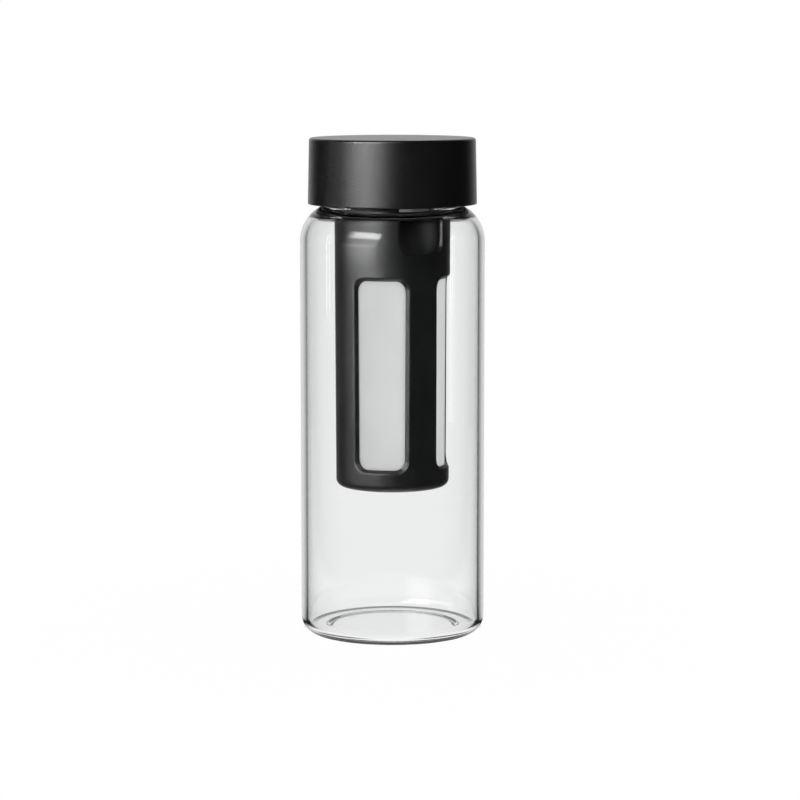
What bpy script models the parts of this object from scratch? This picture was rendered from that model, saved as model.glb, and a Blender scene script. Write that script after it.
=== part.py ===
"""Glass tea bottle with a black screw cap and a lift-out infuser.

Lengths are in metres and +Z is up. The bottle stands on Z = 0 with its axis on the Z axis, and its
front faces -Y. Each piece is modelled from its own seat, and its object's location puts it there.
"""
import math

import bmesh
import bpy

MM = 0.001
FULL_TURN = 2 * math.pi
HALF_TURN = math.pi
QUARTER_TURN = math.pi / 2

# Shared by all pieces
round_steps = 48
edge_steps = 3
bend_steps = 5
seat_gap = 0.3 * MM
cut_overrun = 1.5 * MM
opening_bend_steps = 4
opening_flat_steps = 6
merge_distance = 0.001 * MM
sharp_edge_angle = math.radians(35)

# Infuser frame: a moulded collar under a flange, four posts and a bottom ring
infuser_radius = 20.65 * MM
infuser_bottom_radius = 20.3 * MM
infuser_wall = 1.3 * MM
infuser_length = 117.5 * MM
infuser_bottom_edge_radius = 2.6 * MM
floor_lip_width = 3.2 * MM
floor_lip_thickness = 1.6 * MM
flange_width = 3.65 * MM
flange_thickness = 1.4 * MM
flange_edge_radius = 0.4 * MM

# Windows of the infuser frame, sized on the outside of the wall
window_count = 4
window_width = 21.0 * MM
window_height = 69.6 * MM
window_sill_height = 6.6 * MM
window_corner_radius = 4.2 * MM
window_flare = 1.1 * MM
first_window_angle = math.radians(-102)

# Pouring slots in the collar, above every second post
slot_count = 2
slot_width = 19.0 * MM
slot_bottom_above_window = 8.2 * MM
slot_corner_radius = 4.3 * MM
slot_flare = 0.2 * MM
slot_top_below_lip = 1.0 * MM

# Filter mesh
mesh_thickness = 0.5 * MM
mesh_overlap = 3.0 * MM

# Gasket between the glass rim and the flange
gasket_thickness = 1.2 * MM
gasket_lip_depth = 3.2 * MM
neck_clearance = 1.55 * MM

# Glass bottle
glass_radius = 33.0 * MM
glass_wall = 2.3 * MM
body_height = 141.0 * MM
foot_corner_width = 4.3 * MM
foot_corner_height = 5.7 * MM
foot_ring_width = 4.3 * MM
punt_depth = 0.7 * MM
punt_slope_width = 3.4 * MM
shoulder_radius = 14.0 * MM
shoulder_bead_radius = 6.0 * MM
shoulder_bead_start = math.radians(35)
bore_edge_radius = 1.0 * MM
neck_wall = 2.4 * MM
neck_fillet_radius = 1.0 * MM
rim_edge_radius = 0.8 * MM

# Quick-turn thread, shared by the neck and the cap liner
thread_starts = 3
thread_lead = 13.5 * MM
thread_root_sink = 0.5 * MM
thread_run_out_share = 0.12
neck_thread_turn = math.radians(150)
neck_thread_height = 1.1 * MM
neck_thread_root_width = 2.4 * MM
neck_thread_crest_width = 1.4 * MM
liner_thread_turn = math.radians(78)
liner_thread_delay = math.radians(30)
liner_thread_height = 1.2 * MM
liner_thread_root_width = 1.8 * MM
liner_thread_crest_width = 1.0 * MM
thread_clearance = 0.5 * MM

# Cap: an outer shell over a threaded liner, with a flat seal
cap_height = 23.5 * MM
cap_above_shoulder = 2.4 * MM
cap_flare = 0.45 * MM
shell_wall = 1.8 * MM
shell_top_thickness = 1.8 * MM
shell_top_edge_radius = 1.0 * MM
shell_bottom_edge_radius = 0.4 * MM
liner_wall = 1.4 * MM
liner_top_thickness = 1.6 * MM
liner_recess = 1.0 * MM
seal_width = 5.0 * MM
seal_thickness = 1.5 * MM
boss_width = 1.4 * MM
boss_height = 1.5 * MM

# Radii that follow from the pieces inside each other
flange_radius = infuser_radius + flange_width
neck_bore_radius = infuser_radius + neck_clearance
neck_radius = neck_bore_radius + neck_wall
neck_crest_radius = neck_radius + neck_thread_height
liner_bore_radius = neck_crest_radius + thread_clearance
liner_radius = liner_bore_radius + liner_wall
shell_bore_radius = liner_radius + seat_gap
cap_top_radius = shell_bore_radius + shell_wall
cap_bottom_radius = cap_top_radius + cap_flare
seal_inner_radius = flange_radius - seal_width

# The neck starts where a small fillet meets the shoulder
shoulder_centre_radius = glass_radius - shoulder_radius
fillet_centre_radius = neck_radius + neck_fillet_radius
fillet_offset = fillet_centre_radius - shoulder_centre_radius
fillet_reach = shoulder_radius + neck_fillet_radius
fillet_height = body_height + math.sqrt(max(0.0, fillet_reach ** 2 - fillet_offset ** 2))
fillet_angle = math.atan2(fillet_height - body_height, fillet_offset)

# Heights of the seats, from the cap's lower edge over the shoulder to the glass rim
skirt_offset = min(shell_bore_radius - shoulder_centre_radius, shoulder_radius)
skirt_ground = body_height + math.sqrt(shoulder_radius ** 2 - skirt_offset ** 2)
cap_bottom_height = skirt_ground + cap_above_shoulder
total_height = cap_bottom_height + cap_height
liner_top_height = total_height - shell_top_thickness - seat_gap
seal_seat_height = liner_top_height - liner_top_thickness - seat_gap - seal_thickness
flange_seat_height = seal_seat_height - seat_gap - flange_thickness
gasket_seat_height = flange_seat_height - seat_gap - gasket_thickness
rim_height = gasket_seat_height - seat_gap
gasket_lip_bottom = rim_height - gasket_lip_depth
thread_rise = thread_lead * neck_thread_turn / FULL_TURN
thread_pitch = thread_lead / thread_starts
thread_bottom_height = (fillet_height + rim_height - thread_rise) / 2

# Heights inside the infuser, from the flange's underside down
infuser_bottom = -infuser_length
infuser_floor = infuser_bottom + floor_lip_thickness
window_bottom = infuser_bottom + window_sill_height
window_top = window_bottom + window_height
slot_bottom = window_top + slot_bottom_above_window
slot_top = gasket_lip_bottom - slot_top_below_lip - flange_seat_height
mesh_top = window_top + mesh_overlap


def infuser_outside(height):
    """Outer radius of the infuser's wall, which tapers from the slots down to the bottom ring."""
    share = (slot_bottom - height) / (slot_bottom - infuser_bottom)
    share = min(max(share, 0.0), 1.0)
    return infuser_radius + share * (infuser_bottom_radius - infuser_radius)


def infuser_inside(height):
    """Inner radius of the infuser's wall."""
    return infuser_outside(height) - infuser_wall


def arc(centre_radius, centre_height, radius, start, end, steps, tallness=1.0):
    """Points of an arc in the plane of radius and height, with both of its ends."""
    points = []
    for step in range(steps + 1):
        angle = start + (end - start) * step / steps
        points.append((centre_radius + radius * math.cos(angle),
                       centre_height + radius * tallness * math.sin(angle)))
    return points


def make_material(name, colour, roughness, metallic=0.0, transmission=0.0):
    """A Principled material with the piece's own finish."""
    material = bpy.data.materials.new(name)
    material.use_nodes = True
    shader = material.node_tree.nodes["Principled BSDF"]
    shader.inputs["Base Color"].default_value = (*colour, 1.0)
    shader.inputs["Roughness"].default_value = roughness
    shader.inputs["Metallic"].default_value = metallic
    shader.inputs["Transmission Weight"].default_value = transmission
    return material


def place(item, height, parent):
    """Puts an item on the Z axis at a height above the foot, carried by its parent."""
    bpy.context.scene.collection.objects.link(item)
    item.parent = parent
    while parent:
        height -= parent.location.z
        parent = parent.parent
    item.location = (0.0, 0.0, height)


def add_object(name, builder, material=None, height=0.0, parent=None):
    """Turns a bmesh into an object at its seat height."""
    mesh = bpy.data.meshes.new(name)
    builder.to_mesh(mesh)
    builder.free()
    piece = bpy.data.objects.new(name, mesh)
    place(piece, height, parent)
    if material:
        mesh.materials.append(material)
        mesh.shade_smooth()
        mesh.set_sharp_from_angle(angle=sharp_edge_angle)
    return piece


def add_carrier(name, height, parent=None):
    """An empty on the axis that carries the pieces that move together."""
    carrier = bpy.data.objects.new(name, None)
    place(carrier, height, parent)
    return carrier


def turned(outline):
    """A solid of revolution, spun from a closed outline of radius and height points."""
    builder = bmesh.new()
    corners = [builder.verts.new((radius, 0.0, height)) for radius, height in outline]
    edges = []
    for start, end in zip(corners, corners[1:] + corners[:1]):
        if start.co.x > merge_distance or end.co.x > merge_distance:
            edges.append(builder.edges.new((start, end)))
    bmesh.ops.spin(builder, geom=corners + edges, cent=(0.0, 0.0, 0.0), axis=(0.0, 0.0, 1.0),
                   angle=FULL_TURN, steps=round_steps, use_merge=True)
    bmesh.ops.remove_doubles(builder, verts=builder.verts, dist=merge_distance)
    bmesh.ops.recalc_face_normals(builder, faces=builder.faces)
    return builder


def loft(builder, rings):
    """Joins rings of points into one closed solid, with a flat cap on the first and the last."""
    rows = [[builder.verts.new(point) for point in ring] for ring in rings]
    for lower, upper in zip(rows, rows[1:]):
        for index in range(len(lower)):
            after = (index + 1) % len(lower)
            builder.faces.new((lower[index], lower[after], upper[after], upper[index]))
    builder.faces.new(reversed(rows[0]))
    builder.faces.new(rows[-1])


def thread_ridges(wall_radius, outward, height, root_width, crest_width, turn, first_angle, first_height):
    """One tapered helical ridge for each start, sunk a little into the wall that carries it."""
    builder = bmesh.new()
    steps = round(turn / FULL_TURN * round_steps)
    for start in range(thread_starts):
        rings = []
        for step in range(steps + 1):
            share = step / steps
            fade = min(1.0, share / thread_run_out_share, (1.0 - share) / thread_run_out_share)
            crest = -thread_root_sink / 2 + fade * (height + thread_root_sink / 2)
            angle = first_angle + start * FULL_TURN / thread_starts + turn * share
            middle = first_height + thread_lead * turn * share / FULL_TURN
            section = [(-thread_root_sink, -root_width / 2), (crest, -crest_width / 2),
                       (crest, crest_width / 2), (-thread_root_sink, root_width / 2)]
            ring = []
            for rise, offset in section:
                radius = wall_radius + outward * rise
                ring.append((radius * math.cos(angle), radius * math.sin(angle), middle + offset))
            rings.append(ring)
        loft(builder, rings)
    bmesh.ops.recalc_face_normals(builder, faces=builder.faces)
    return builder


def opening_stations(half_width, corner_radius):
    """Stations across a rounded opening: distance from its middle, and drop of its top edge there."""
    flat = half_width - corner_radius
    stations = []
    for step in range(opening_bend_steps):
        angle = QUARTER_TURN * step / opening_bend_steps
        across = -flat - corner_radius * math.cos(angle)
        stations.append((across, corner_radius * (1.0 - math.sin(angle))))
    for step in range(opening_flat_steps + 1):
        stations.append((-flat + 2 * flat * step / opening_flat_steps, 0.0))
    mirrored = [(-across, drop) for across, drop in reversed(stations[:opening_bend_steps])]
    return stations + mirrored


def add_opening_cutter(builder, middle_angle, bottom, top, width, corner_radius, flare, radius):
    """A cutter for one rounded opening in a round wall, wider on the wall's outside."""
    inner = radius - infuser_wall - cut_overrun
    outer = radius + cut_overrun
    layers = []
    for layer_radius in (inner, outer):
        growth = flare * (layer_radius - radius) / infuser_wall
        columns = []
        for across, drop in opening_stations(width / 2 + growth, corner_radius + growth):
            angle = middle_angle + across / radius
            x, y = layer_radius * math.cos(angle), layer_radius * math.sin(angle)
            low = builder.verts.new((x, y, bottom - growth + drop))
            high = builder.verts.new((x, y, top + growth - drop))
            columns.append((low, high))
        layers.append(columns)
    for (in_a, in_b, out_a, out_b) in zip(layers[0], layers[0][1:], layers[1], layers[1][1:]):
        builder.faces.new((in_a[0], in_a[1], in_b[1], in_b[0]))
        builder.faces.new((out_a[0], out_b[0], out_b[1], out_a[1]))
        builder.faces.new((in_a[0], in_b[0], out_b[0], out_a[0]))
        builder.faces.new((in_a[1], out_a[1], out_b[1], in_b[1]))
    for end in (0, -1):
        (in_low, in_high), (out_low, out_high) = layers[0][end], layers[1][end]
        builder.faces.new((in_low, out_low, out_high, in_high))


def combine(piece, tool, operation):
    """Adds or cuts a hidden tool's shape with an exact Boolean modifier."""
    tool.hide_render = True
    tool.display_type = "WIRE"
    change = piece.modifiers.new(tool.name, "BOOLEAN")
    change.operation = operation
    change.solver = "EXACT"
    change.object = tool


def make_glass_bottle():
    """The clear bottle: a straight body, a rounded foot and shoulder, and a threaded neck.

    Its wall is even down to the foot, and thickens to a bead inside the shoulder, under the neck.
    """
    foot_centre = glass_radius - foot_corner_width
    foot_tallness = foot_corner_height / foot_corner_width
    punt_radius = foot_centre - foot_ring_width
    inner_corner_width = foot_corner_width - glass_wall
    inner_corner_tallness = (foot_corner_height - glass_wall) / inner_corner_width
    inner_shoulder_radius = shoulder_radius - glass_wall
    bead_shift = inner_shoulder_radius - shoulder_bead_radius
    bead_centre_radius = shoulder_centre_radius + bead_shift * math.cos(shoulder_bead_start)
    bead_centre_height = body_height + bead_shift * math.sin(shoulder_bead_start)
    bore_edge_height = bead_centre_height + shoulder_bead_radius + bore_edge_radius
    outline = [(0.0, punt_depth), (punt_radius - punt_slope_width, punt_depth), (punt_radius, 0.0)]
    outline += arc(foot_centre, foot_corner_height, foot_corner_width, -QUARTER_TURN, 0.0, bend_steps,
                   foot_tallness)
    outline += arc(shoulder_centre_radius, body_height, shoulder_radius, 0.0, fillet_angle, bend_steps)
    outline += arc(fillet_centre_radius, fillet_height, neck_fillet_radius,
                   HALF_TURN + fillet_angle, HALF_TURN, edge_steps)[1:]
    outline += arc(neck_radius - rim_edge_radius, rim_height - rim_edge_radius, rim_edge_radius,
                   0.0, QUARTER_TURN, edge_steps)
    outline += arc(neck_bore_radius + rim_edge_radius, rim_height - rim_edge_radius, rim_edge_radius,
                   QUARTER_TURN, HALF_TURN, edge_steps)
    outline += arc(neck_bore_radius + bore_edge_radius, bore_edge_height, bore_edge_radius,
                   HALF_TURN, HALF_TURN + QUARTER_TURN, edge_steps)
    outline += arc(bead_centre_radius, bead_centre_height, shoulder_bead_radius,
                   QUARTER_TURN, shoulder_bead_start, edge_steps)
    outline += arc(shoulder_centre_radius, body_height, inner_shoulder_radius,
                   shoulder_bead_start, 0.0, edge_steps)[1:]
    outline += arc(foot_centre, foot_corner_height, inner_corner_width, 0.0, -QUARTER_TURN, bend_steps,
                   inner_corner_tallness)
    outline += [(0.0, glass_wall)]
    material = make_material("clear_glass", (0.95, 0.97, 0.97), 0.02, transmission=1.0)
    bottle = add_object("glass_bottle", turned(outline), material)
    ridges = thread_ridges(neck_radius, 1, neck_thread_height, neck_thread_root_width,
                           neck_thread_crest_width, neck_thread_turn, 0.0, thread_bottom_height)
    combine(bottle, add_object("neck_thread", ridges), "UNION")


def make_infuser_frame(carrier):
    """The black moulded frame: flange, collar with two slots, four windows and a bottom ring."""
    edge = flange_edge_radius
    foot = infuser_bottom_edge_radius
    lip_radius = infuser_inside(infuser_bottom) - floor_lip_width
    outline = [(infuser_inside(0.0), flange_thickness)]
    outline += arc(flange_radius - edge, flange_thickness - edge, edge, QUARTER_TURN, 0.0, edge_steps)
    outline += arc(flange_radius - edge, edge, edge, 0.0, -QUARTER_TURN, edge_steps)
    outline += [(infuser_radius, 0.0), (infuser_radius, slot_bottom)]
    outline += arc(infuser_bottom_radius - foot, infuser_bottom + foot, foot, 0.0, -QUARTER_TURN, bend_steps)
    outline += [(lip_radius, infuser_bottom), (lip_radius, infuser_floor),
                (infuser_inside(infuser_floor), infuser_floor), (infuser_inside(0.0), slot_bottom)]
    material = make_material("black_frame", (0.02, 0.02, 0.022), 0.35)
    frame = add_object("infuser_frame", turned(outline), material, flange_seat_height, carrier)
    cutters = bmesh.new()
    for window in range(window_count):
        angle = first_window_angle + window * FULL_TURN / window_count
        add_opening_cutter(cutters, angle, window_bottom, window_top, window_width,
                           window_corner_radius, window_flare, infuser_radius)
    for slot in range(slot_count):
        angle = first_window_angle + HALF_TURN / window_count + slot * FULL_TURN / slot_count
        add_opening_cutter(cutters, angle, slot_bottom, slot_top, slot_width,
                           slot_corner_radius, slot_flare, infuser_radius)
    bmesh.ops.recalc_face_normals(cutters, faces=cutters.faces)
    # The flared sides are slightly twisted, and triangles make them flat, so that the cut is exact
    bmesh.ops.triangulate(cutters, faces=cutters.faces)
    openings =add_object("infuser_openings", cutters, None, flange_seat_height, carrier)
    combine(frame, openings, "DIFFERENCE")


def make_mesh(carrier):
    """The filter mesh: a sleeve inside the windows and a disc on the bottom lip."""
    mesh_foot = infuser_floor + seat_gap
    top_radius = infuser_inside(mesh_top) - seat_gap
    foot_radius = infuser_inside(mesh_foot) - seat_gap
    sleeve = [(top_radius, mesh_top), (foot_radius, mesh_foot),
              (foot_radius - mesh_thickness, mesh_foot), (top_radius - mesh_thickness, mesh_top)]
    material = make_material("filter_mesh", (0.8, 0.81, 0.82), 0.7)
    add_object("mesh_sleeve", turned(sleeve), material, flange_seat_height, carrier)
    disc_radius = foot_radius - mesh_thickness - seat_gap
    disc = [(0.0, mesh_foot + mesh_thickness), (disc_radius, mesh_foot + mesh_thickness),
            (disc_radius, mesh_foot), (0.0, mesh_foot)]
    add_object("floor_mesh", turned(disc), material, flange_seat_height, carrier)


def make_infuser_gasket(carrier):
    """The silicone ring between the rim and the flange, with a lip that centres the collar."""
    inner = infuser_radius + seat_gap
    lip_radius = neck_bore_radius - seat_gap
    lip_bottom = gasket_lip_bottom - gasket_seat_height
    outline = [(inner, gasket_thickness), (flange_radius, gasket_thickness), (flange_radius, 0.0),
               (lip_radius, 0.0), (lip_radius, lip_bottom), (inner, lip_bottom)]
    material = make_material("clear_silicone", (0.75, 0.76, 0.76), 0.45)
    add_object("infuser_gasket", turned(outline), material, gasket_seat_height, carrier)


def make_cap_seal(carrier):
    """The flat silicone washer that the cap presses on the flange."""
    outline = [(seal_inner_radius, seal_thickness), (flange_radius, seal_thickness),
               (flange_radius, 0.0), (seal_inner_radius, 0.0)]
    material = make_material("white_silicone", (0.78, 0.78, 0.77), 0.5)
    add_object("cap_seal", turned(outline), material, seal_seat_height, carrier)


def make_cap_shell(carrier):
    """The matte black cover, flared a little towards its lower edge."""
    top_edge = shell_top_edge_radius
    low_edge = shell_bottom_edge_radius
    inner_top = cap_height - shell_top_thickness
    outline = [(0.0, cap_height)]
    outline += arc(cap_top_radius - top_edge, cap_height - top_edge, top_edge, QUARTER_TURN, 0.0, edge_steps)
    outline += arc(cap_bottom_radius - low_edge, low_edge, low_edge, 0.0, -QUARTER_TURN, edge_steps)
    outline += [(shell_bore_radius, 0.0), (shell_bore_radius, inner_top), (0.0, inner_top)]
    material = make_material("black_cap", (0.02, 0.02, 0.022), 0.45)
    add_object("cap_shell", turned(outline), material, cap_bottom_height, carrier)


def make_cap_liner(carrier):
    """The threaded insert inside the shell, with a boss that keeps the seal in place."""
    top = liner_top_height - cap_bottom_height
    ceiling = top - liner_top_thickness
    boss_radius = seal_inner_radius - seat_gap
    outline = [(0.0, top), (liner_radius, top), (liner_radius, liner_recess),
               (liner_bore_radius, liner_recess), (liner_bore_radius, ceiling), (boss_radius, ceiling),
               (boss_radius, ceiling - boss_height), (boss_radius - boss_width, ceiling - boss_height),
               (boss_radius - boss_width, ceiling), (0.0, ceiling)]
    material = make_material("black_liner", (0.03, 0.03, 0.032), 0.4)
    liner = add_object("cap_liner", turned(outline), material, cap_bottom_height, carrier)
    thread_height = thread_bottom_height - thread_pitch / 2 - cap_bottom_height
    first_height = thread_height + thread_lead * liner_thread_delay / FULL_TURN
    ridges = thread_ridges(liner_bore_radius, -1, liner_thread_height, liner_thread_root_width,
                           liner_thread_crest_width, liner_thread_turn, liner_thread_delay, first_height)
    combine(liner, add_object("liner_thread", ridges, None, cap_bottom_height, carrier), "UNION")


for old in list(bpy.data.objects):
    bpy.data.objects.remove(old, do_unlink=True)

make_glass_bottle()
infuser_carrier = add_carrier("infuser_carrier", flange_seat_height)
make_infuser_frame(infuser_carrier)
make_mesh(infuser_carrier)
make_infuser_gasket(infuser_carrier)
seal_carrier = add_carrier("seal_carrier", seal_seat_height, infuser_carrier)
make_cap_seal(seal_carrier)
cap_carrier = add_carrier("cap_carrier", cap_bottom_height, seal_carrier)
make_cap_shell(cap_carrier)
make_cap_liner(cap_carrier)
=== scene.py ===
"""Looks of the glass tea bottle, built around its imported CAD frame.

Lengths are in metres, +Z is up and the front faces -Y. The sections follow the bottle as it is put
together, from the glass up to the cap, and then come the table, the light and the camera.
"""
import math

import bmesh
import bpy
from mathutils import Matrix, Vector


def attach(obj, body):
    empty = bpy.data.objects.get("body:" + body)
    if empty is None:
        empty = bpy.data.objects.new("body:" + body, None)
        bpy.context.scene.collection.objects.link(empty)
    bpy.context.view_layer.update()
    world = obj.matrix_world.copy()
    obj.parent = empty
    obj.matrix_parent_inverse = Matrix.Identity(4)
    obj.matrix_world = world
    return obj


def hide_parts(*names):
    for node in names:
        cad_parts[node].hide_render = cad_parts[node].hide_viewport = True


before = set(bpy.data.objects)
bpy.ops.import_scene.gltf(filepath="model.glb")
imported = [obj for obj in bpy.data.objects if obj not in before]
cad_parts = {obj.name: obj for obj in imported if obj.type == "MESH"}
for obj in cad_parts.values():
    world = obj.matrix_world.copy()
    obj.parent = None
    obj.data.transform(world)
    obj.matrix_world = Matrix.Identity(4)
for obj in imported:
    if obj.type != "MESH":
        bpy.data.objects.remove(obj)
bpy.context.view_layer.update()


# The bottle is one piece of clear borosilicate glass: drawn tube, closed and pressed to a rounded
# foot, and rolled in at the shoulder to a neck. Three short threads stand proud of the neck, under
# the cap. It carries everything else.

MM = 0.001
glass_radius = 33 * MM
glass_wall = 2.3 * MM
foot_bend_width = 4.3 * MM
foot_bend_height = 5.7 * MM
punt_radius = 21 * MM
punt_height = 0.7 * MM
punt_slope_width = 3.4 * MM
shoulder_height = 141 * MM
shoulder_bend = 14 * MM
shoulder_middle = glass_radius - shoulder_bend
bead_turn = 35
bead_bend = 6 * MM
neck_radius = 24.6 * MM
neck_bore = 22.2 * MM
neck_bore_bend = 1 * MM
neck_root = 154.47 * MM
neck_fillet = 1 * MM
neck_rows = 120
rim_height = 168.707 * MM
rim_bend = 0.8 * MM
thread_bottom = neck_root + 0.2 * MM
thread_top = rim_height - rim_bend
thread_starts = 3
thread_lead = 13.5 * MM
thread_height = 158.78 * MM
glass_tint = (0.985, 0.99, 0.99, 1)
glass_shade = (0.96, 0.96, 0.96, 1)


def arc(centre_radius, centre_height, radius, start, end, steps, tall=1):
    """Points of an arc in the plane of radius and height, with its angles in degrees."""
    points = []
    for step in range(steps + 1):
        angle = math.radians(start + (end - start) * step / steps)
        points.append((centre_radius + radius * math.cos(angle),
                       centre_height + radius * tall * math.sin(angle)))
    return points


def soft_step(start, end, steps):
    """Points of a smooth step from one level to another, level at both ends."""
    points = []
    for step in range(steps + 1):
        share = step / steps
        eased = share * share * (3 - 2 * share)
        points.append((start[0] + (end[0] - start[0]) * share, start[1] + (end[1] - start[1]) * eased))
    return points


def draw_line(name, points):
    """A line of vertices, extruded from one point to the next, left in edit mode."""
    bpy.ops.object.select_all(action="DESELECT")
    bpy.ops.mesh.primitive_plane_add(size=MM)
    piece = bpy.context.object
    piece.name = piece.data.name = name
    bpy.ops.object.mode_set(mode="EDIT")
    bpy.ops.mesh.select_all(action="SELECT")
    bpy.ops.mesh.merge(type="CENTER")
    bpy.ops.transform.translate(value=points[0])
    for before, after in zip(points, points[1:]):
        step = [end - start for start, end in zip(before, after)]
        bpy.ops.mesh.extrude_region_move(TRANSFORM_OT_translate={"value": step})
    return piece


def close_seams():
    """Merges the doubles of the piece in edit mode, turns its faces outwards and leaves edit mode."""
    bpy.ops.mesh.select_all(action="SELECT")
    bpy.ops.mesh.remove_doubles(threshold=0.002 * MM)
    bpy.ops.mesh.normals_make_consistent(inside=False)
    bpy.ops.object.mode_set(mode="OBJECT")


def smooth(piece, sharp_angle=35):
    """Smooth shading up to an angle, with the large faces keeping their own normals."""
    bpy.ops.object.select_all(action="DESELECT")
    piece.select_set(True)
    bpy.context.view_layer.objects.active = piece
    bpy.ops.object.shade_smooth_by_angle(angle=math.radians(sharp_angle))
    weights = piece.modifiers.new("weights", "WEIGHTED_NORMAL")
    weights.keep_sharp = True
    bpy.ops.object.modifier_apply(modifier=weights.name)


def turn_on_lathe(name, outline, steps=192):
    """A solid of revolution: the outline is closed and spun round the Z axis."""
    if outline[0][0] or outline[-1][0]:
        outline = outline + outline[:1]
    piece = draw_line(name, [(radius, 0, height) for radius, height in outline])
    bpy.ops.mesh.select_all(action="SELECT")
    bpy.ops.mesh.spin(steps=steps, angle=2 * math.pi, center=(0, 0, 0), axis=(0, 0, 1))
    close_seams()
    return piece


def raise_threads(piece, wall_radius, outward, height, root_width, crest_width, turn, delay, first_height):
    """Pushes short helical ridges out of a round wall, each fading out at both ends."""
    run_out = 0.12
    on_wall = 0.02 * MM
    for vertex in piece.data.vertices:
        radius = math.hypot(vertex.co.x, vertex.co.y)
        if abs(radius - wall_radius) > on_wall:
            continue
        rise = 0
        for start in range(thread_starts):
            angle = math.degrees(math.atan2(vertex.co.y, vertex.co.x)) - delay - 360 / thread_starts * start
            share = (angle % 360) / turn
            if share > 1:
                continue
            middle = first_height + thread_lead * turn * share / 360
            slope = (root_width / 2 - abs(vertex.co.z - middle)) / (root_width / 2 - crest_width / 2)
            slope = min(max(slope, 0), 1)
            fade = min(1, share / run_out, (1 - share) / run_out)
            rise = max(rise, height * fade * slope * slope * (3 - 2 * slope))
        vertex.co.xy *= (radius + outward * rise) / radius


class Value:
    """A number from a shader socket: an operator on it adds the Math node."""

    def __init__(self, finish, socket):
        self.finish = finish
        self.socket = socket

    def __add__(self, other):
        return self.finish.math("ADD", self, other)

    __radd__ = __add__

    def __sub__(self, other):
        return self.finish.math("SUBTRACT", self, other)

    def __rsub__(self, other):
        return self.finish.math("SUBTRACT", other, self)

    def __mul__(self, other):
        return self.finish.math("MULTIPLY", self, other)

    __rmul__ = __mul__


class Finish:
    """The node tree of a material or of the world."""

    def __init__(self, owner):
        self.owner = owner
        owner.use_nodes = True
        self.tree = owner.node_tree
        self.tree.nodes.clear()

    def add(self, kind, settings=None, inputs=None, output=0):
        """Adds a node, sets it up, then gives its sockets their values or links."""
        node = self.tree.nodes.new(kind)
        for name, value in (settings or {}).items():
            setattr(node, name, value)
        for name, value in (inputs or {}).items():
            socket = next(s for s in node.inputs if s.identifier == name)
            if isinstance(value, Value):
                self.tree.links.new(value.socket, socket)
            else:
                socket.default_value = value
        return Value(self, node.outputs[output]) if node.outputs else None

    def math(self, operation, first, second=0):
        return self.add("ShaderNodeMath", {"operation": operation}, {"Value": first, "Value_001": second})

    def mix(self, mask, first, second):
        """The first shader where the mask is 0, and the second where it is 1."""
        return self.add("ShaderNodeMixShader",
                        inputs={"Fac": mask, "Shader": first, "Shader_001": second})

    def noise(self, scale, detail=2, stretch=(1, 1, 1)):
        """Noise on the piece's own place in the row frame, with its scale in bumps per metre."""
        place = self.add("ShaderNodeTexCoord", output="Object")
        place = self.add("ShaderNodeMapping", inputs={"Vector": place, "Scale": stretch})
        return self.add("ShaderNodeTexNoise", inputs={"Vector": place, "Scale": scale, "Detail": detail})

    def bump(self, height, distance):
        """Relief of a height from 0 to 1 over a real depth."""
        return self.add("ShaderNodeBump", inputs={"Strength": 1, "Distance": distance, "Height": height})

    def colour(self, mask, dark, light):
        """A colour between two, by a mask."""
        return self.add("ShaderNodeMix", {"data_type": "RGBA"},
                        {"Factor_Float": mask, "A_Color": (*dark, 1), "B_Color": (*light, 1)}, 2)

    def end(self, shader, kind="ShaderNodeOutputMaterial"):
        self.add(kind, inputs={"Surface": shader})
        return self.owner


def dress(piece, body, material, node):
    """Gives a piece its finish, and ties it to the frame."""
    piece.data.materials.clear()
    piece.data.materials.append(material)
    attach(piece, body)
    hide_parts(node)


neck_side = neck_radius + neck_fillet
fillet_turn = math.degrees(math.atan2(neck_root - shoulder_height, neck_side - shoulder_middle))
outline = [(0, punt_height)]
outline += soft_step((punt_radius, punt_height), (punt_radius + punt_slope_width, 0), 10)
outline += arc(glass_radius - foot_bend_width, foot_bend_height, foot_bend_width, -90, 0, 20,
               foot_bend_height / foot_bend_width)
outline += arc(shoulder_middle, shoulder_height, shoulder_bend, 0, fillet_turn, 20)
outline += arc(neck_side, neck_root, neck_fillet, 180 + fillet_turn, 180, 5)[1:]
for row in range(1, neck_rows):
    outline.append((neck_radius, thread_bottom + (thread_top - thread_bottom) * row / neck_rows))
outline += arc(neck_radius - rim_bend, rim_height - rim_bend, rim_bend, 0, 90, 6)
outline += arc(neck_bore + rim_bend, rim_height - rim_bend, rim_bend, 90, 180, 6)
# Under the neck the inside turns in more tightly than the outside, which leaves a thick bead of glass
inner_bend = shoulder_bend - glass_wall
bead_shift = inner_bend - bead_bend
bead_middle = shoulder_middle + bead_shift * math.cos(math.radians(bead_turn))
bead_height = shoulder_height + bead_shift * math.sin(math.radians(bead_turn))
outline += arc(neck_bore + neck_bore_bend, bead_height + bead_bend + neck_bore_bend, neck_bore_bend,
               180, 270, 6)
outline += arc(bead_middle, bead_height, bead_bend, 90, bead_turn, 12)
outline += arc(shoulder_middle, shoulder_height, inner_bend, bead_turn, 0, 12)[1:]
inside_width = foot_bend_width - glass_wall
outline += arc(glass_radius - glass_wall - inside_width, foot_bend_height, inside_width, 0, -90, 16,
               (foot_bend_height - glass_wall) / inside_width)
outline += [(0, glass_wall)]
bottle = turn_on_lathe("bottle_glass", outline)
raise_threads(bottle, neck_radius, outward=1, height=1.1 * MM, root_width=2.4 * MM,
              crest_width=1.2 * MM, turn=150, delay=0, first_height=thread_height)
smooth(bottle)

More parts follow.
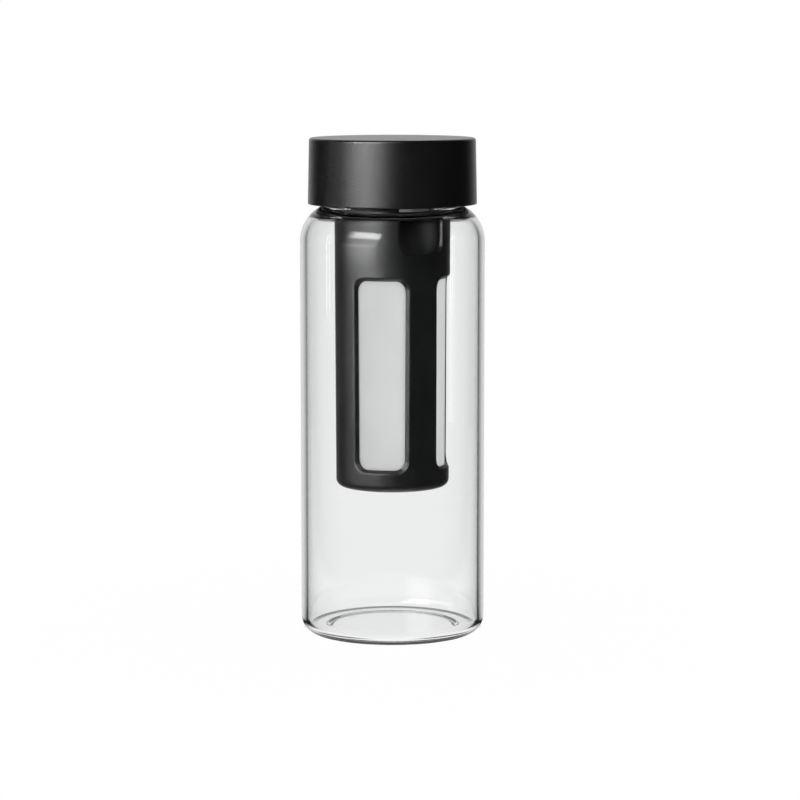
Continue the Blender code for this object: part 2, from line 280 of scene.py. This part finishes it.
glass = Finish(bpy.data.materials.new("clear_glass"))
ripple = glass.noise(28, detail=1, stretch=(1, 1, 0.25))
body = glass.add("ShaderNodeBsdfPrincipled", inputs={
    "Base Color": glass_tint, "Roughness": 0, "IOR": 1.47, "Transmission Weight": 1,
    "Normal": glass.bump(ripple, 0.02 * MM)})
see_through = glass.add("ShaderNodeBsdfTransparent", inputs={"Color": glass_shade})
for ray in ("Is Shadow Ray", "Is Diffuse Ray"):
    body = glass.mix(glass.add("ShaderNodeLightPath", output=ray), body, see_through)
dress(bottle, "bottle", glass.end(body), "glass_bottle")


# The infuser frame is one moulding in black plastic: a flange that hangs on the glass rim, a collar
# with two pouring slots, four posts, and a bottom ring with a lip inside. Its windows are chamfered
# on the outside. It is modelled flat, as if unrolled, and then wrapped round the axis.

collar_radius = 20.65 * MM
ring_radius = 20.3 * MM
frame_wall = 1.3 * MM
flange_radius = 24.3 * MM
flange_bottom = 170.507 * MM
flange_top = 171.907 * MM
flange_edge = 0.4 * MM
ring_bottom = 53.007 * MM
ring_edge = 2.6 * MM
lip_radius = 15.8 * MM
lip_top = 54.607 * MM
lip_edge = 0.4 * MM
taper_top = 137.407 * MM
window_bottom = 59.607 * MM
window_top = 129.207 * MM
slot_top = 164.507 * MM
first_window = -102
window_count = 4
opening_edge = 0.4 * MM
opening_sharpness = 25
openings_low = 56 * MM
openings_high = 169 * MM
frame_columns = 144
punch_overhang = 1.5 * MM
satin_black = (0.0012, 0.0012, 0.0014)
satin_grey = (0.0022, 0.0022, 0.0025)


def select_where(piece, kind, wanted):
    """Selects the edges or faces that a test picks, and nothing else, in edit mode."""
    bpy.ops.mesh.select_all(action="DESELECT")
    mesh = bmesh.from_edit_mesh(piece.data)
    for element in getattr(mesh, kind):
        if wanted(element):
            element.select_set(True)
    bmesh.update_edit_mesh(piece.data)


def make_punch(middle_angle, bottom, top, width, corner, flare):
    """A rounded block that cuts one opening through the flat wall, wider on the outside."""
    depth = frame_wall + 2 * punch_overhang
    bpy.ops.object.select_all(action="DESELECT")
    bpy.ops.mesh.primitive_cube_add(size=1)
    punch = bpy.context.object
    bpy.ops.object.mode_set(mode="EDIT")
    bpy.ops.mesh.select_all(action="SELECT")
    bpy.ops.transform.resize(value=(width, depth, top - bottom))
    select_where(punch, "edges", lambda edge: abs(edge.verts[0].co.y - edge.verts[1].co.y) > depth / 2)
    bpy.ops.mesh.bevel(offset=corner, offset_type="OFFSET", segments=9, affect="EDGES")
    bpy.ops.object.mode_set(mode="OBJECT")
    middle = Vector((math.radians(middle_angle) * collar_radius, collar_radius, (bottom + top) / 2))
    for vertex in punch.data.vertices:
        growth = flare * vertex.co.y / frame_wall
        vertex.co.x *= 1 + 2 * growth / width
        vertex.co.z *= 1 + 2 * growth / (top - bottom)
        vertex.co += middle
    return punch


def on_opening(edge):
    """Whether an edge is the outer rim of a window or a slot."""
    heights = [vertex.co.z for vertex in edge.verts]
    proud = min(vertex.co.y for vertex in edge.verts) > ring_radius - 0.1 * MM
    inside = min(heights) > openings_low and max(heights) < openings_high
    return proud and inside and edge.calc_face_angle(0) > math.radians(opening_sharpness)


outline = [(collar_radius - frame_wall, flange_top)]
outline += arc(flange_radius - flange_edge, flange_top - flange_edge, flange_edge, 90, 0, 4)
outline += arc(flange_radius - flange_edge, flange_bottom + flange_edge, flange_edge, 0, -90, 4)
outline += [(collar_radius, flange_bottom), (collar_radius, taper_top)]
outline += arc(ring_radius - ring_edge, ring_bottom + ring_edge, ring_edge, 0, -90, 10)
outline += arc(lip_radius + lip_edge, ring_bottom + lip_edge, lip_edge, -90, -180, 3)
outline += [(lip_radius, lip_top), (ring_radius - frame_wall, lip_top),
            (collar_radius - frame_wall, taper_top)]
half_round = math.pi * collar_radius
frame_piece = draw_line("infuser_body", [(-half_round, radius, height) for radius, height in outline])
bpy.ops.mesh.select_all(action="SELECT")
bpy.ops.mesh.edge_face_add()
bpy.ops.mesh.extrude_region_move(TRANSFORM_OT_translate={"value": (2 * half_round, 0, 0)})
bpy.ops.mesh.select_all(action="SELECT")
bpy.ops.mesh.normals_make_consistent(inside=False)
bpy.ops.object.mode_set(mode="OBJECT")

punches = []
for window in range(window_count):
    punches.append(make_punch(first_window + 360 / window_count * window, window_bottom, window_top,
                              width=21 * MM, corner=4.2 * MM, flare=1.1 * MM))
for angle in (first_window + 45, first_window + 225):
    punches.append(make_punch(angle, taper_top, slot_top, width=19 * MM, corner=4.3 * MM, flare=0.2 * MM))
bpy.ops.object.select_all(action="DESELECT")
for punch in punches:
    punch.select_set(True)
bpy.context.view_layer.objects.active = punches[0]
bpy.ops.object.join()
bpy.context.view_layer.objects.active = frame_piece
cut = frame_piece.modifiers.new("openings", "BOOLEAN")
cut.operation = "DIFFERENCE"
cut.solver = "EXACT"
cut.object = punches[0]
bpy.ops.object.modifier_apply(modifier=cut.name)
bpy.data.objects.remove(punches[0])

bpy.ops.object.select_all(action="DESELECT")
frame_piece.select_set(True)
bpy.ops.object.mode_set(mode="EDIT")
select_where(frame_piece, "edges", on_opening)
bpy.ops.mesh.bevel(offset=opening_edge, offset_type="OFFSET", segments=4, affect="EDGES")
for column in range(1, frame_columns):
    bpy.ops.mesh.select_all(action="SELECT")
    place = half_round * (2 * column / frame_columns - 1)
    bpy.ops.mesh.bisect(plane_co=(place, 0, 0), plane_no=(1, 0, 0))
select_where(frame_piece, "faces",
             lambda face: abs(abs(face.calc_center_median().x) - half_round) < 0.01 * MM)
bpy.ops.mesh.delete(type="ONLY_FACE")
bpy.ops.object.mode_set(mode="OBJECT")
for vertex in frame_piece.data.vertices:
    angle = vertex.co.x / collar_radius
    vertex.co.x, vertex.co.y = vertex.co.y * math.cos(angle), vertex.co.y * math.sin(angle)
bpy.ops.object.mode_set(mode="EDIT")
close_seams()
smooth(frame_piece, sharp_angle=30)

satin = Finish(bpy.data.materials.new("black_satin_plastic"))
grain = satin.noise(5200, detail=3)
patches = satin.noise(90, detail=3)
satin_plastic = satin.end(satin.add("ShaderNodeBsdfPrincipled", inputs={
    "Base Color": satin.colour(patches, satin_black, satin_grey), "Roughness": 0.42 + 0.06 * patches,
    "IOR": 1.7, "Specular IOR Level": 1, "Normal": satin.bump(grain, 0.006 * MM)}))
dress(frame_piece, "infuser", satin_plastic, "infuser_frame")


# The filter is a fine white nylon mesh, moulded into the frame behind the windows, with a second
# disc of it on the lip at the bottom.

mesh_thickness = 0.5 * MM
mesh_gap = 0.3 * MM
sleeve_bottom = 54.907 * MM
sleeve_top = 132.207 * MM
sleeve_foot_radius = ring_radius - frame_wall - mesh_gap
sleeve_top_radius = 19.03 * MM
disc_radius = sleeve_foot_radius - mesh_thickness - mesh_gap
disc_top = sleeve_bottom + mesh_thickness
nylon_shade = (0.76, 0.765, 0.77)
nylon_white = (0.99, 0.99, 0.99)
nylon_through = (0.93, 0.93, 0.94, 1)
share_through = 0.3

outline = [(sleeve_top_radius, sleeve_top), (sleeve_foot_radius, sleeve_bottom),
           (sleeve_foot_radius - mesh_thickness, sleeve_bottom),
           (sleeve_top_radius - mesh_thickness, sleeve_top)]
sleeve = turn_on_lathe("filter_sleeve", outline)
smooth(sleeve)
outline = [(0, disc_top), (disc_radius, disc_top), (disc_radius, sleeve_bottom), (0, sleeve_bottom)]
disc = turn_on_lathe("filter_disc", outline, steps=96)
smooth(disc)

nylon = Finish(bpy.data.materials.new("white_filter_mesh"))
clouds = nylon.noise(70, detail=3, stretch=(1, 1, 0.6))
nylon_body = nylon.add("ShaderNodeBsdfPrincipled", inputs={
    "Base Color": nylon.colour(clouds, nylon_shade, nylon_white), "Roughness": 0.6,
    "Specular IOR Level": 0.3})
light_through = nylon.add("ShaderNodeBsdfTranslucent", inputs={"Color": nylon_through})
nylon_mesh = nylon.end(nylon.mix(share_through, nylon_body, light_through))
dress(sleeve, "infuser", nylon_mesh, "mesh_sleeve")
dress(disc, "infuser", nylon_mesh, "floor_mesh")


# The gasket is a ring of whitish silicone round the collar, under the flange: it rests on the glass
# rim, and its lip reaches into the neck and keeps the infuser central.

gasket_top = 170.207 * MM
gasket_bottom = 169.007 * MM
gasket_inner = 20.95 * MM
gasket_lip_radius = 21.9 * MM
gasket_lip_bottom = 165.507 * MM
silicone_edge = 0.3 * MM
silicone_dull = (0.66, 0.66, 0.65)
silicone_pale = (0.74, 0.74, 0.73)

outline = [(gasket_inner, gasket_top)]
outline += arc(flange_radius - silicone_edge, gasket_top - silicone_edge, silicone_edge, 90, 0, 4)
outline += arc(flange_radius - silicone_edge, gasket_bottom + silicone_edge, silicone_edge, 0, -90, 4)
outline += [(gasket_lip_radius, gasket_bottom)]
outline += arc(gasket_lip_radius - silicone_edge, gasket_lip_bottom + silicone_edge, silicone_edge,
               0, -90, 4)
outline += [(gasket_inner, gasket_lip_bottom)]
gasket = turn_on_lathe("rim_gasket", outline)
smooth(gasket)

silicone = Finish(bpy.data.materials.new("white_silicone"))
haze = silicone.noise(300)
skin = silicone.noise(2600)
white_silicone = silicone.end(silicone.add("ShaderNodeBsdfPrincipled", inputs={
    "Base Color": silicone.colour(haze, silicone_dull, silicone_pale), "Roughness": 0.42 + 0.1 * haze,
    "IOR": 1.41, "Subsurface Weight": 0.3, "Subsurface Scale": 1 * MM,
    "Normal": silicone.bump(skin, 0.004 * MM)}))
dress(gasket, "infuser", white_silicone, "infuser_gasket")


# The seal is a flat washer of the same silicone. It is pushed over the boss inside the cap, and the
# cap presses it on the infuser's flange.

seal_inner = 19.3 * MM
seal_bottom = 172.207 * MM
seal_top = 173.707 * MM

outline = []
for radius, height, start in ((flange_radius - silicone_edge, seal_top - silicone_edge, 90),
                              (flange_radius - silicone_edge, seal_bottom + silicone_edge, 0),
                              (seal_inner + silicone_edge, seal_bottom + silicone_edge, -90),
                              (seal_inner + silicone_edge, seal_top - silicone_edge, 180)):
    outline += arc(radius, height, silicone_edge, start, start - 90, 4)
washer = turn_on_lathe("seal_washer", outline)
smooth(washer)
dress(washer, "seal", white_silicone, "cap_seal")


# The liner is a black plastic insert in the cap, with the threads that grip the glass neck, and a
# small boss that the washer is pushed over.

liner_top = 175.607 * MM
liner_ceiling = 174.007 * MM
liner_bottom = 155.207 * MM
liner_radius = 27.6 * MM
liner_bore = 26.2 * MM
liner_rows = 140
boss_radius = 19 * MM
boss_wall = 1.4 * MM
boss_bottom = 172.507 * MM
boss_edge = 0.3 * MM
grip_delay = 30
grip_height = thread_height - thread_lead / thread_starts / 2 + thread_lead * grip_delay / 360

outline = [(0, liner_top), (liner_radius, liner_top), (liner_radius, liner_bottom)]
for row in range(liner_rows + 1):
    outline.append((liner_bore, liner_bottom + (liner_ceiling - liner_bottom) * row / liner_rows))
outline += [(boss_radius, liner_ceiling)]
outline += arc(boss_radius - boss_edge, boss_bottom + boss_edge, boss_edge, 0, -90, 3)
outline += arc(boss_radius - boss_wall + boss_edge, boss_bottom + boss_edge, boss_edge, -90, -180, 3)
outline += [(boss_radius - boss_wall, liner_ceiling), (0, liner_ceiling)]
liner = turn_on_lathe("cap_insert", outline)
raise_threads(liner, liner_bore, outward=-1, height=1.2 * MM, root_width=1.8 * MM,
              crest_width=0.9 * MM, turn=78, delay=grip_delay, first_height=grip_height)
smooth(liner)
dress(liner, "cap", satin_plastic, "cap_liner")


# The cap's cover is moulded in black plastic with a fine matte texture. It widens a little towards
# its lower edge, and its top is flat.

cap_top = 177.707 * MM
cap_ceiling = 175.907 * MM
cap_bottom = 154.207 * MM
cap_top_radius = 29.7 * MM
cap_bottom_radius = 30.15 * MM
cap_bore = 27.9 * MM
cap_edge = 1 * MM
cap_low_edge = 0.4 * MM
matte_black = (0.0006, 0.0006, 0.0008)
matte_grey = (0.0012, 0.0012, 0.0014)

outline = [(0, cap_top)]
outline += arc(cap_top_radius - cap_edge, cap_top - cap_edge, cap_edge, 90, 0, 8)
outline += arc(cap_bottom_radius - cap_low_edge, cap_bottom + cap_low_edge, cap_low_edge, 0, -90, 5)
outline += [(cap_bore, cap_bottom), (cap_bore, cap_ceiling), (0, cap_ceiling)]
cover = turn_on_lathe("cap_cover", outline)
smooth(cover)

matte = Finish(bpy.data.materials.new("black_matte_plastic"))
pores = matte.noise(2700, detail=3)
wear = matte.noise(70, detail=3)
matte_plastic = matte.end(matte.add("ShaderNodeBsdfPrincipled", inputs={
    "Base Color": matte.colour(wear, matte_black, matte_grey), "Roughness": 0.27 + 0.05 * wear,
    "IOR": 1.8, "Specular IOR Level": 1, "Normal": matte.bump(pores, 0.1 * MM)}))
dress(cover, "cap", matte_plastic, "cap_shell")


# The table is a round white card. Seen directly it glows almost as white as the room, with a thin line
# of painted contact shadow at the back where each edge of the foot meets it. In reflections it is white
# under the bottle but for a painted shadow ring, then dark with painted shade round the foot, and past
# the bottle it is bright only towards the sheet behind.

table_radius = 0.5
table_drop = 0.05 * MM
card_colour = (0.9, 0.9, 0.9, 1)
card_dimness = 0.02
white = (1, 1, 1, 1)
glow_near = (0.05, 0.95)
glow_far = (0.3, 1)
under_bottle = (32.5 * MM, 34 * MM)
past_bottle = (36 * MM, 42 * MM)
# painted shadow: a dark ring on the card under the foot, seen only in reflections
ring_shadow_band = (28.7 * MM, 29.2 * MM, 30.3 * MM, 30.8 * MM)
ring_shadow_starts = (4 * MM, 16 * MM)
ring_shadow_thins = (24 * MM, 29 * MM)
ring_shadow_thinning = 0.7
ring_shadow_depth = 0.85
# painted contact shadow: thin dark rings on the card under the foot's two edges, on its back half only
outer_contact_shadow = (28 * MM, 28.5 * MM, 31.5 * MM, 33 * MM)
inner_contact_shadow = (22.5 * MM, 23.2 * MM, 24.4 * MM, 24.7 * MM)
contact_shadows_start = (-2 * MM, 12 * MM)
contact_shadow_depth = 0.85
sheet_azimuth = -1.5
sheet_spread = (0.72, 1)
sheet_strength = 0.8


def seen_directly(finish):
    """1 where the camera sees something straight or through clear glass alone, and 0 in reflections."""
    path = {name: finish.add("ShaderNodeLightPath", output=name) for name in
            ("Is Camera Ray", "Is Transmission Ray", "Diffuse Depth", "Glossy Depth")}
    direct = path["Is Camera Ray"] + path["Is Transmission Ray"]
    for name in ("Diffuse Depth", "Glossy Depth"):
        direct = direct * (1 - finish.math("MINIMUM", path[name], 1))
    return direct


def seen_in_gloss(finish):
    """1 where a sharp or soft reflection sees something, and 0 where it lights a dull surface."""
    glossy, diffuse = (finish.math("MINIMUM", finish.add("ShaderNodeLightPath", output=name), 1)
                       for name in ("Glossy Depth", "Diffuse Depth"))
    return glossy * (1 - diffuse)


def glow(finish, strength, kind="ShaderNodeEmission"):
    """White light of a strength that may vary."""
    return finish.add(kind, inputs={"Color": white, "Strength": strength})


def axis(finish, place, name):
    """One coordinate of a place or a direction."""
    return finish.add("ShaderNodeSeparateXYZ", inputs={"Vector": place}, output=name)


def direction(finish, place):
    """A place or a direction with its length made 1."""
    return finish.add("ShaderNodeVectorMath", {"operation": "NORMALIZE"}, {"Vector": place}, "Vector")


def ease(finish, value, low, high):
    """0 below the low value and 1 above the high one, with a smooth step between them."""
    return finish.add("ShaderNodeMapRange", {"interpolation_type": "SMOOTHSTEP"},
                      {"Value": value, "From Min": low, "From Max": high, "To Min": 0, "To Max": 1})


def between(finish, value, start, full, fading, end):
    """1 from the full value to the fading one, and 0 before the start and after the end."""
    return ease(finish, value, start, full) * (1 - ease(finish, value, fading, end))


def towards(finish, way, azimuth):
    """How far a direction leans to an azimuth, from 1 for straight at it to -1 for away from it.

    Azimuths are in degrees from the back of the bottle, +Y, towards its right side, +X.
    """
    azimuth = math.radians(azimuth)
    return finish.add("ShaderNodeVectorMath", {"operation": "DOT_PRODUCT"},
                      {"Vector": way, "Vector_001": (math.sin(azimuth), math.cos(azimuth), 0)}, "Value")


bpy.ops.object.select_all(action="DESELECT")
bpy.ops.mesh.primitive_circle_add(vertices=96, radius=table_radius, fill_type="NGON",
                                  location=(0, 0, -table_drop))
table = bpy.context.object
table.name = table.data.name = "table"
card = Finish(bpy.data.materials.new("white_card"))
place = card.add("ShaderNodeTexCoord", output="Object")
distance = card.add("ShaderNodeVectorMath", {"operation": "LENGTH"}, {"Vector": place}, "Value")
across = axis(card, place, "X")
depth = axis(card, place, "Y")
aside = card.math("ABSOLUTE", across)
past_side = across - glass_radius * card.math("SIGN", across)
from_side = direction(card, card.add("ShaderNodeCombineXYZ", inputs={"X": past_side, "Y": depth}))
# painted shadow ring under the foot, seen only in reflections; none at the front and back, fainter at the
# very sides
painted_ring_shadow = between(card, distance, *ring_shadow_band) * ease(card, aside, *ring_shadow_starts)
painted_ring_shadow = painted_ring_shadow * (1 - ring_shadow_thinning * ease(card, aside, *ring_shadow_thins))
# Between under_bottle and past_bottle the card stays dark: painted shade round the foot, seen in
# reflections.
near = (1 - ease(card, distance, *under_bottle)) * (1 - ring_shadow_depth * painted_ring_shadow)
far = ease(card, distance, *past_bottle) * ease(card, towards(card, from_side, sheet_azimuth), *sheet_spread)
lit = card.math("MINIMUM", near + sheet_strength * far, 1)
# painted contact shadow lines under both edges of the foot, on the back half, seen directly and through the
# glass
painted_contact_shadows = between(card, distance, *outer_contact_shadow) + between(card, distance, *inner_contact_shadow)
painted_contact_shadows = painted_contact_shadows * ease(card, depth, *contact_shadows_start)
whiteness = card.add("ShaderNodeMapRange", inputs={
    "Value": distance, "From Min": glow_near[0], "From Max": glow_far[0],
    "To Min": glow_near[1], "To Max": glow_far[1]})
paper = card.add("ShaderNodeBsdfDiffuse", inputs={"Color": card_colour})
mirrored = glow(card, card_dimness + (1 - card_dimness) * lit)
card_face = card.mix(seen_in_gloss(card), paper, mirrored)
card_face = card.mix(seen_directly(card) * whiteness, card_face, glow(card, 1 - contact_shadow_depth * painted_contact_shadows))
table.data.materials.append(card.end(card_face))
table.data.materials[0].cycles.emission_sampling = "NONE"


# The room shows white to the camera and through the glass, and lights dull surfaces, a little more
# from the front right. In reflections it is dim, with a white sheet behind the bottle, a faint box at
# the front right, a strip at the left, and a left light that shows only in the infuser in the glass.

sheet_fades = (0.5, 0.75)
room_dimness = 0.015
dull_azimuth = 150
dull_spread = (-0.4, 0.9)
dull_least = 0.8
dull_more = 0.6
right_azimuth = 138
right_front = (0, 0.1)
right_sides = (-0.35, -0.31, 0.31, 0.35)
right_heights = (-0.08, -0.07, 0.53, 0.57)
right_strength = 0.03
left_azimuth = -121
left_spread = (0.72, 0.97)
left_heights = (-0.3, -0.2, 0.35, 0.5)
left_strength = 1.6
left_least_crossings = 2.5
left_most_mirrorings = 1.5
strip_azimuth = -90.6
strip_front = (0.5, 0.6)
strip_sides = (-0.014, -0.006, 0.006, 0.014)
strip_heights = (-0.105, -0.095, 0.3, 0.35)
strip_strength = 5

room = bpy.data.worlds.new("room")
bpy.context.scene.world = room
room.cycles.sampling_method = "NONE"
air = Finish(room)
way = air.add("ShaderNodeTexCoord", output="Generated")
height = axis(air, way, "Z")
level = air.add("ShaderNodeVectorMath", {"operation": "MULTIPLY"},
                {"Vector": way, "Vector_001": (1, 1, 0)}, "Vector")
level = direction(air, level)
sheet = ease(air, towards(air, level, sheet_azimuth), *sheet_spread) * (1 - ease(air, height, *sheet_fades))
right_box = between(air, towards(air, way, right_azimuth - 90), *right_sides)
right_box = right_box * ease(air, towards(air, way, right_azimuth), *right_front)
right_box = right_box * between(air, height, *right_heights)
crossings = air.add("ShaderNodeLightPath", output="Transmission Depth")
mirrorings = air.add("ShaderNodeLightPath", output="Glossy Depth")
in_glass = air.math("GREATER_THAN", crossings, left_least_crossings)
in_glass = in_glass * air.math("LESS_THAN", mirrorings, left_most_mirrorings)
left_light = in_glass * ease(air, towards(air, level, left_azimuth), *left_spread)
left_light = left_light * between(air, height, *left_heights)
strip = between(air, towards(air, level, strip_azimuth + 90), *strip_sides)
strip = strip * ease(air, towards(air, level, strip_azimuth), *strip_front)
strip = strip * between(air, height, *strip_heights)
studio = room_dimness + (1 - room_dimness) * sheet_strength * sheet + right_strength * right_box
studio = studio + left_strength * left_light + strip_strength * strip
dull_light = dull_least + dull_more * ease(air, towards(air, way, dull_azimuth), *dull_spread)
lit = air.mix(seen_in_gloss(air), glow(air, dull_light, "ShaderNodeBackground"),
              glow(air, studio, "ShaderNodeBackground"))
air.end(air.mix(seen_directly(air), lit, glow(air, 1, "ShaderNodeBackground")), "ShaderNodeOutputWorld")


# A tall soft box stands at the front left, and only reflections see it. It gives the long highlights
# on the cap, the collar and the glass. Its lower half is dimmer, and it fades towards its edges.

box_azimuth = -142
box_distance = 0.8
box_width = 1.16
box_top = 0.74
box_left_edge = (-0.39, -0.13)
box_right_edge = (0.31, 0.39)
box_low_edge = (0.06 - box_top / 2, 0.095 - box_top / 2)
box_low_part = (0.15 - box_top / 2, 0.22 - box_top / 2)
box_low_sides = (-0.58, -0.2, 0.05, 0.25)
box_upper_half = (0.02, 0.1)
box_lean = 0.1
lower_strength = 1.5
upper_strength = 6

bpy.ops.object.select_all(action="DESELECT")
bpy.ops.mesh.primitive_plane_add(size=1)
box = bpy.context.object
box.name = box.data.name = "soft_box"
bpy.ops.object.mode_set(mode="EDIT")
bpy.ops.mesh.select_all(action="SELECT")
bpy.ops.transform.resize(value=(box_width, box_top, 1))
bpy.ops.object.mode_set(mode="OBJECT")
turn = math.radians(box_azimuth)
box.location = (box_distance * math.sin(turn), box_distance * math.cos(turn), box_top / 2)
box.rotation_euler = (math.radians(90), 0, math.radians(180) - turn)
box.visible_shadow = False
cloth = Finish(bpy.data.materials.new("box_cloth"))
place = cloth.add("ShaderNodeTexCoord", output="Object")
across = axis(cloth, place, "X")
up = axis(cloth, place, "Y")
lean = box_lean / 2 - box_lean / box_top * up
within = ease(cloth, across, *box_left_edge) * (1 - ease(cloth, across + lean, *box_right_edge))
low_edge = ease(cloth, up, *box_low_edge)
low_part = low_edge * (1 - ease(cloth, up, *box_low_part)) * between(cloth, across, *box_low_sides)
strength = within * (lower_strength * low_edge + upper_strength * ease(cloth, up, *box_upper_half))
clear = cloth.add("ShaderNodeBsdfTransparent", inputs={"Color": white})
shine = glow(cloth, (strength + low_part) * seen_in_gloss(cloth))
box.data.materials.append(cloth.end(cloth.add("ShaderNodeAddShader", inputs={
    "Shader": clear, "Shader_001": shine})))
box.data.materials[0].cycles.emission_sampling = "NONE"


# The camera stands a metre away, a little above the bottle, and looks slightly down. Its place, tilt
# and focal length come from the rims of the cap, the shoulder and the foot in the photograph.

photo_side = 800
focal_length_in_pixels = 2794.6
camera_distance = 997 * MM
camera_height = 214 * MM
camera_across = 2.7 * MM
camera_tilt = 7.45

lens = bpy.data.cameras.new("photo_camera")
lens.sensor_width = 36
lens.lens = focal_length_in_pixels / photo_side * lens.sensor_width
camera = bpy.data.objects.new("photo_camera", lens)
camera.location = (camera_across, -camera_distance, camera_height)
camera.rotation_euler = (math.radians(90 - camera_tilt), 0, 0)
bpy.context.scene.collection.objects.link(camera)
bpy.context.scene.camera = camera
bpy.context.scene.view_settings.view_transform = "Standard"
